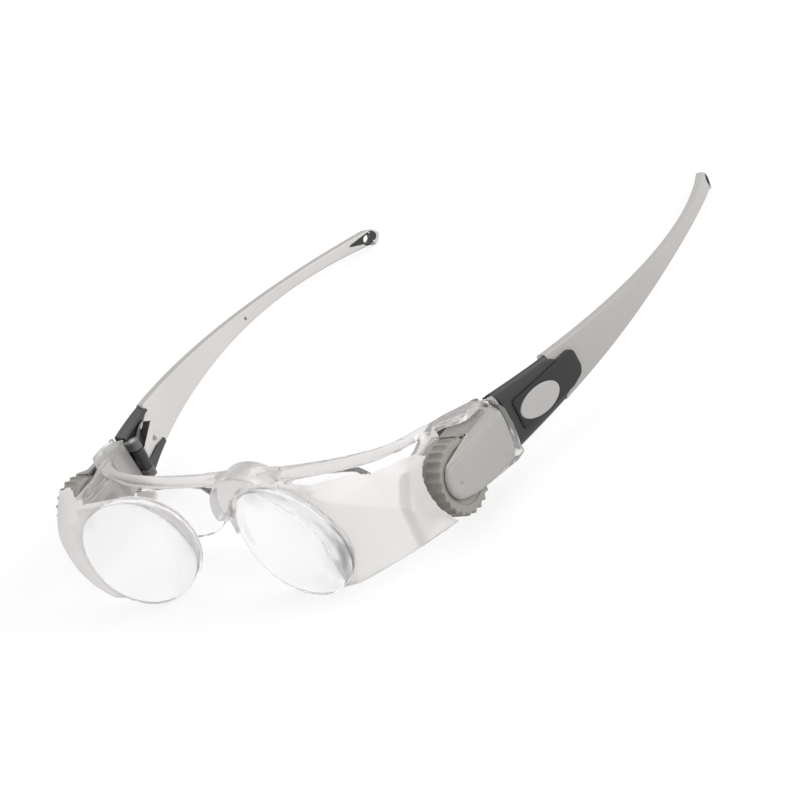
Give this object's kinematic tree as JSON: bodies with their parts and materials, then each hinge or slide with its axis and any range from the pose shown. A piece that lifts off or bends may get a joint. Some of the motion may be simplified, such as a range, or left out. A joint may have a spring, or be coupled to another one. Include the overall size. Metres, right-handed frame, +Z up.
{
  "type": "magnifying spectacles",
  "caption": "Hands-free magnifying spectacles with sliding front lenses, fixed eyepieces, knurled focus wheels at the hinges, a clear frame and folding temples.",
  "frame": {"origin": "middle of the bounding box in X and Y, at the lowest point in Z", "axes": "+X towards the wearer's left, +Y rearwards along the temples, +Z up"},
  "size_m": [0.178, 0.1984, 0.0353],
  "materials": {
    "clear_plastic": "polished clear moulding",
    "lens_plastic": "optically polished clear moulding",
    "temple_plastic": "satin light grey paint on a moulding",
    "cap_plastic": "satin silver grey moulding",
    "wheel_plastic": "satin mid grey moulding with a knurled rim",
    "block_plastic": "satin grey moulding",
    "charcoal_plastic": "fine matt grain",
    "badge_plastic": "satin silver",
    "pin_steel": "turned steel"
  },
  "bodies": {
    "frame": {"rear_frame": "clear_plastic", "left_eyepiece_lens": "lens_plastic", "left_wheel_axle": "pin_steel", "left_hinge_cap": "cap_plastic", "left_hinge_block": "block_plastic", "left_hinge_pin": "pin_steel", "right_eyepiece_lens": "lens_plastic", "right_wheel_axle": "pin_steel", "right_hinge_cap": "cap_plastic", "right_hinge_block": "block_plastic", "right_hinge_pin": "pin_steel"},
    "left_carriage": {"left_lens_carrier": "clear_plastic", "left_front_lens": "lens_plastic", "left_follower_pin": "pin_steel"},
    "left_wheel": {"left_focus_wheel": "wheel_plastic"},
    "left_temple": {"left_temple_arm": "temple_plastic", "left_hinge_sleeve": "charcoal_plastic", "left_oval_badge": "badge_plastic", "left_tip_insert": "charcoal_plastic", "left_hinge_leaf": "charcoal_plastic"},
    "right_carriage": {"right_lens_carrier": "clear_plastic", "right_front_lens": "lens_plastic", "right_follower_pin": "pin_steel"},
    "right_wheel": {"right_focus_wheel": "wheel_plastic"},
    "right_temple": {"right_temple_arm": "temple_plastic", "right_hinge_sleeve": "charcoal_plastic", "right_oval_badge": "badge_plastic", "right_tip_insert": "charcoal_plastic", "right_hinge_leaf": "charcoal_plastic"}
  },
  "joints": [
    {"name": "left_temple_fold", "type": "hinge", "parent": "frame", "child": "left_temple", "pos_m": [0.0688, -0.0436, 0.0163], "axis": [-0.0523, 0, 0.9986], "range_deg": [0, 90]},
    {"name": "left_focus_turn", "type": "hinge", "parent": "frame", "child": "left_wheel", "pos_m": [0.073, -0.0687, 0.0164], "axis": [1, 0, 0], "range_deg": [0, 180]},
    {"name": "left_focus_slide", "type": "slide", "parent": "frame", "child": "left_carriage", "axis": [0, -1, 0], "range_m": [0, 0.0045]},
    {"name": "right_temple_fold", "type": "hinge", "parent": "frame", "child": "right_temple", "pos_m": [-0.0688, -0.0436, 0.0163], "axis": [-0.0523, 0, -0.9986], "range_deg": [0, 76]},
    {"name": "right_focus_turn", "type": "hinge", "parent": "frame", "child": "right_wheel", "pos_m": [-0.073, -0.0687, 0.0164], "axis": [1, 0, 0], "range_deg": [0, 180]},
    {"name": "right_focus_slide", "type": "slide", "parent": "frame", "child": "right_carriage", "axis": [0, -1, 0], "range_m": [0, 0.0045]}
  ],
  "couplings": [
    {"joint": "left_focus_turn", "follows": "left_focus_slide", "rad_per_m": 698.13},
    {"joint": "right_focus_turn", "follows": "right_focus_slide", "rad_per_m": 698.13}
  ]
}
